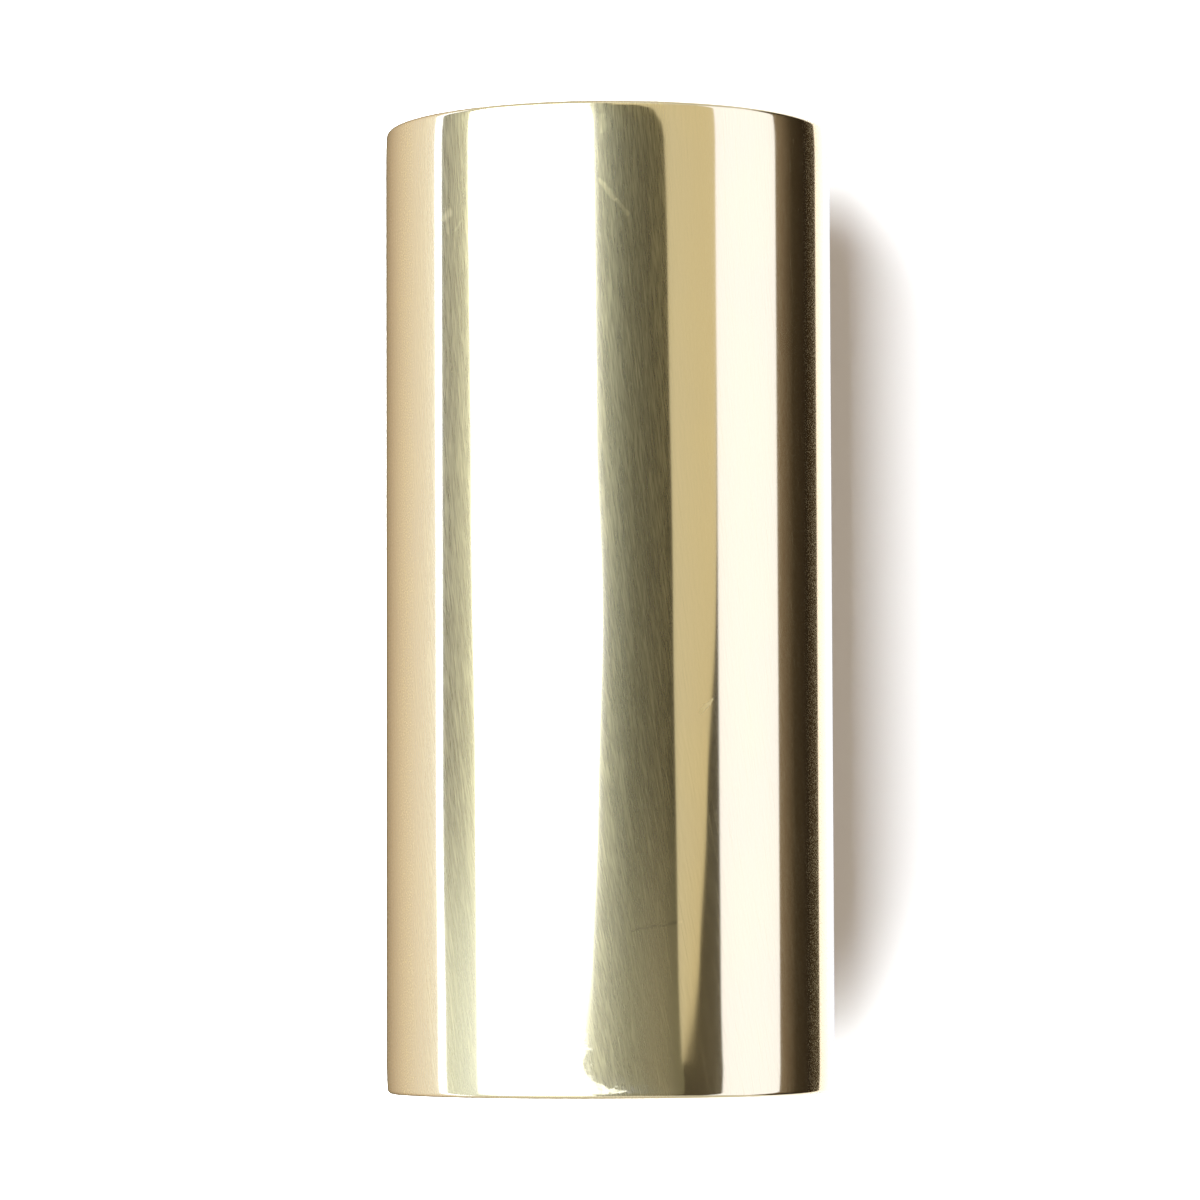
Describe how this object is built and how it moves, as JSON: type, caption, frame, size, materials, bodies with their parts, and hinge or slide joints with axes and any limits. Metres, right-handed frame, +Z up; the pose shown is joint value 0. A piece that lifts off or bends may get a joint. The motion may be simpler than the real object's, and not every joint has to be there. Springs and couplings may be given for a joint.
{
  "type": "guitar slide",
  "caption": "Heavy-wall polished brass guitar slide: a plain tube worn on a finger, with rounded outer corners and a straight through bore.",
  "frame": {"origin": "on the tube's axis, halfway along it, which is the centre of the bore", "axes": "+Y along the tube's axis, +Z up, away from the surface that the slide lies on, +X across the tube"},
  "size_m": [0.029, 0.0624, 0.029],
  "materials": {
    "polished_brass": "mirror polished by hand, with fine hairline scratches nearly along the axis; turned end faces; duller bore"
  },
  "bodies": {
    "root": {"slide_tube": "polished_brass"}
  },
  "joints": []
}
